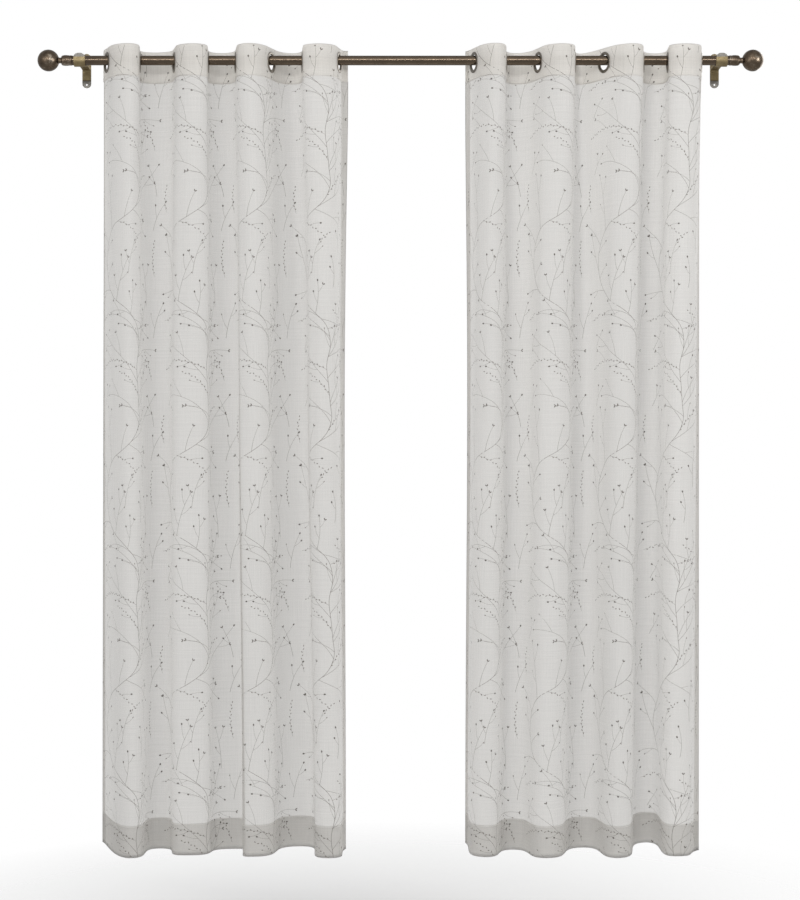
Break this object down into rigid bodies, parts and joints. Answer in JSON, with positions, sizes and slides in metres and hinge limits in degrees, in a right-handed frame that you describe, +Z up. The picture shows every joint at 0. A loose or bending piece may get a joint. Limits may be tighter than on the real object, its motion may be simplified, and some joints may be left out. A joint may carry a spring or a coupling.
{
  "type": "pair of sheer voile eyelet curtains on a curtain rod",
  "caption": "Pair of sheer printed voile curtain panels with metal eyelet headings, gathered in soft waves on a round metal rod with ball finials and two wall brackets.",
  "frame": {"origin": "on the wall plane, midway between the two brackets, at the height of the rod's axis", "axes": "+X along the rod to the viewer's right, +Y into the wall, +Z up"},
  "size_m": [1.9272, 0.2006, 2.141],
  "materials": {
    "voile": "sheer off-white voile with a fine grey-brown twig print",
    "doubled_voile": "the same voile, doubled over a stiffened strip",
    "aged_brass": "dark aged brass, mottled, satin",
    "bracket_brass": "yellower aged brass, satin",
    "aged_nickel": "aged nickel, satin"
  },
  "bodies": {
    "root": {"rod": "aged_brass", "finial_left": "aged_brass", "bracket_arm_left": "bracket_brass", "bracket_plate_left": "bracket_brass", "heading_left": "doubled_voile", "panel_left": "voile", "finial_right": "aged_brass", "bracket_arm_right": "bracket_brass", "bracket_plate_right": "bracket_brass", "heading_right": "doubled_voile", "panel_right": "voile", "ring_left_1": "aged_nickel", "ring_left_2": "aged_nickel", "ring_left_3": "aged_nickel", "ring_left_4": "aged_nickel", "ring_left_5": "aged_nickel", "ring_left_6": "aged_nickel", "ring_left_7": "aged_nickel", "ring_left_8": "aged_nickel", "ring_right_1": "aged_nickel", "ring_right_2": "aged_nickel", "ring_right_3": "aged_nickel", "ring_right_4": "aged_nickel", "ring_right_5": "aged_nickel", "ring_right_6": "aged_nickel", "ring_right_7": "aged_nickel", "ring_right_8": "aged_nickel"}
  },
  "joints": []
}
